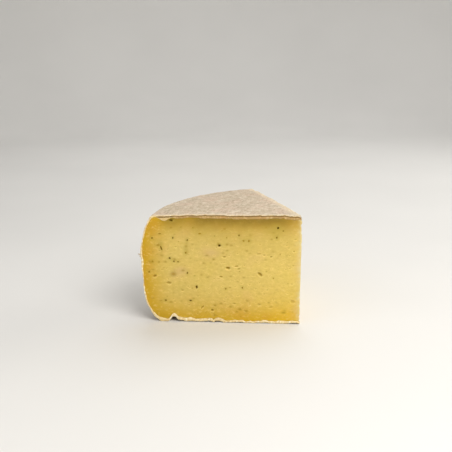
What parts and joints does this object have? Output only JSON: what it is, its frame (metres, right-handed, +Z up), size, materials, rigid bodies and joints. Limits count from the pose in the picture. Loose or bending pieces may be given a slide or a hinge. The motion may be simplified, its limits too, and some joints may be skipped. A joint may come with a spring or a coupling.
{
  "type": "wild garlic cheese",
  "caption": "Wedge-shaped piece of a herb-flecked wheel cheese standing on its underside, with two flat cut faces, a bulging rim and a natural rind.",
  "frame": {"origin": "bottom centre of the piece's box, on the surface that it stands on", "axes": "+X from the bulging rim towards the upright tip along the front cut, -Y out of the front cut face, +Z up from the underside to the upper rind"},
  "size_m": [0.1398, 0.1286, 0.0974],
  "materials": {
    "paste": "straw yellow cheese paste, golden near the rind, faintly waxy where the knife passed",
    "rind": "dry natural rind, grey-beige bloom over tan, cream where it is cut",
    "leaf": "small flecks of dried wild garlic leaf, dark olive to brown"
  },
  "bodies": {
    "root": {"cheese": "paste"}
  },
  "joints": []
}
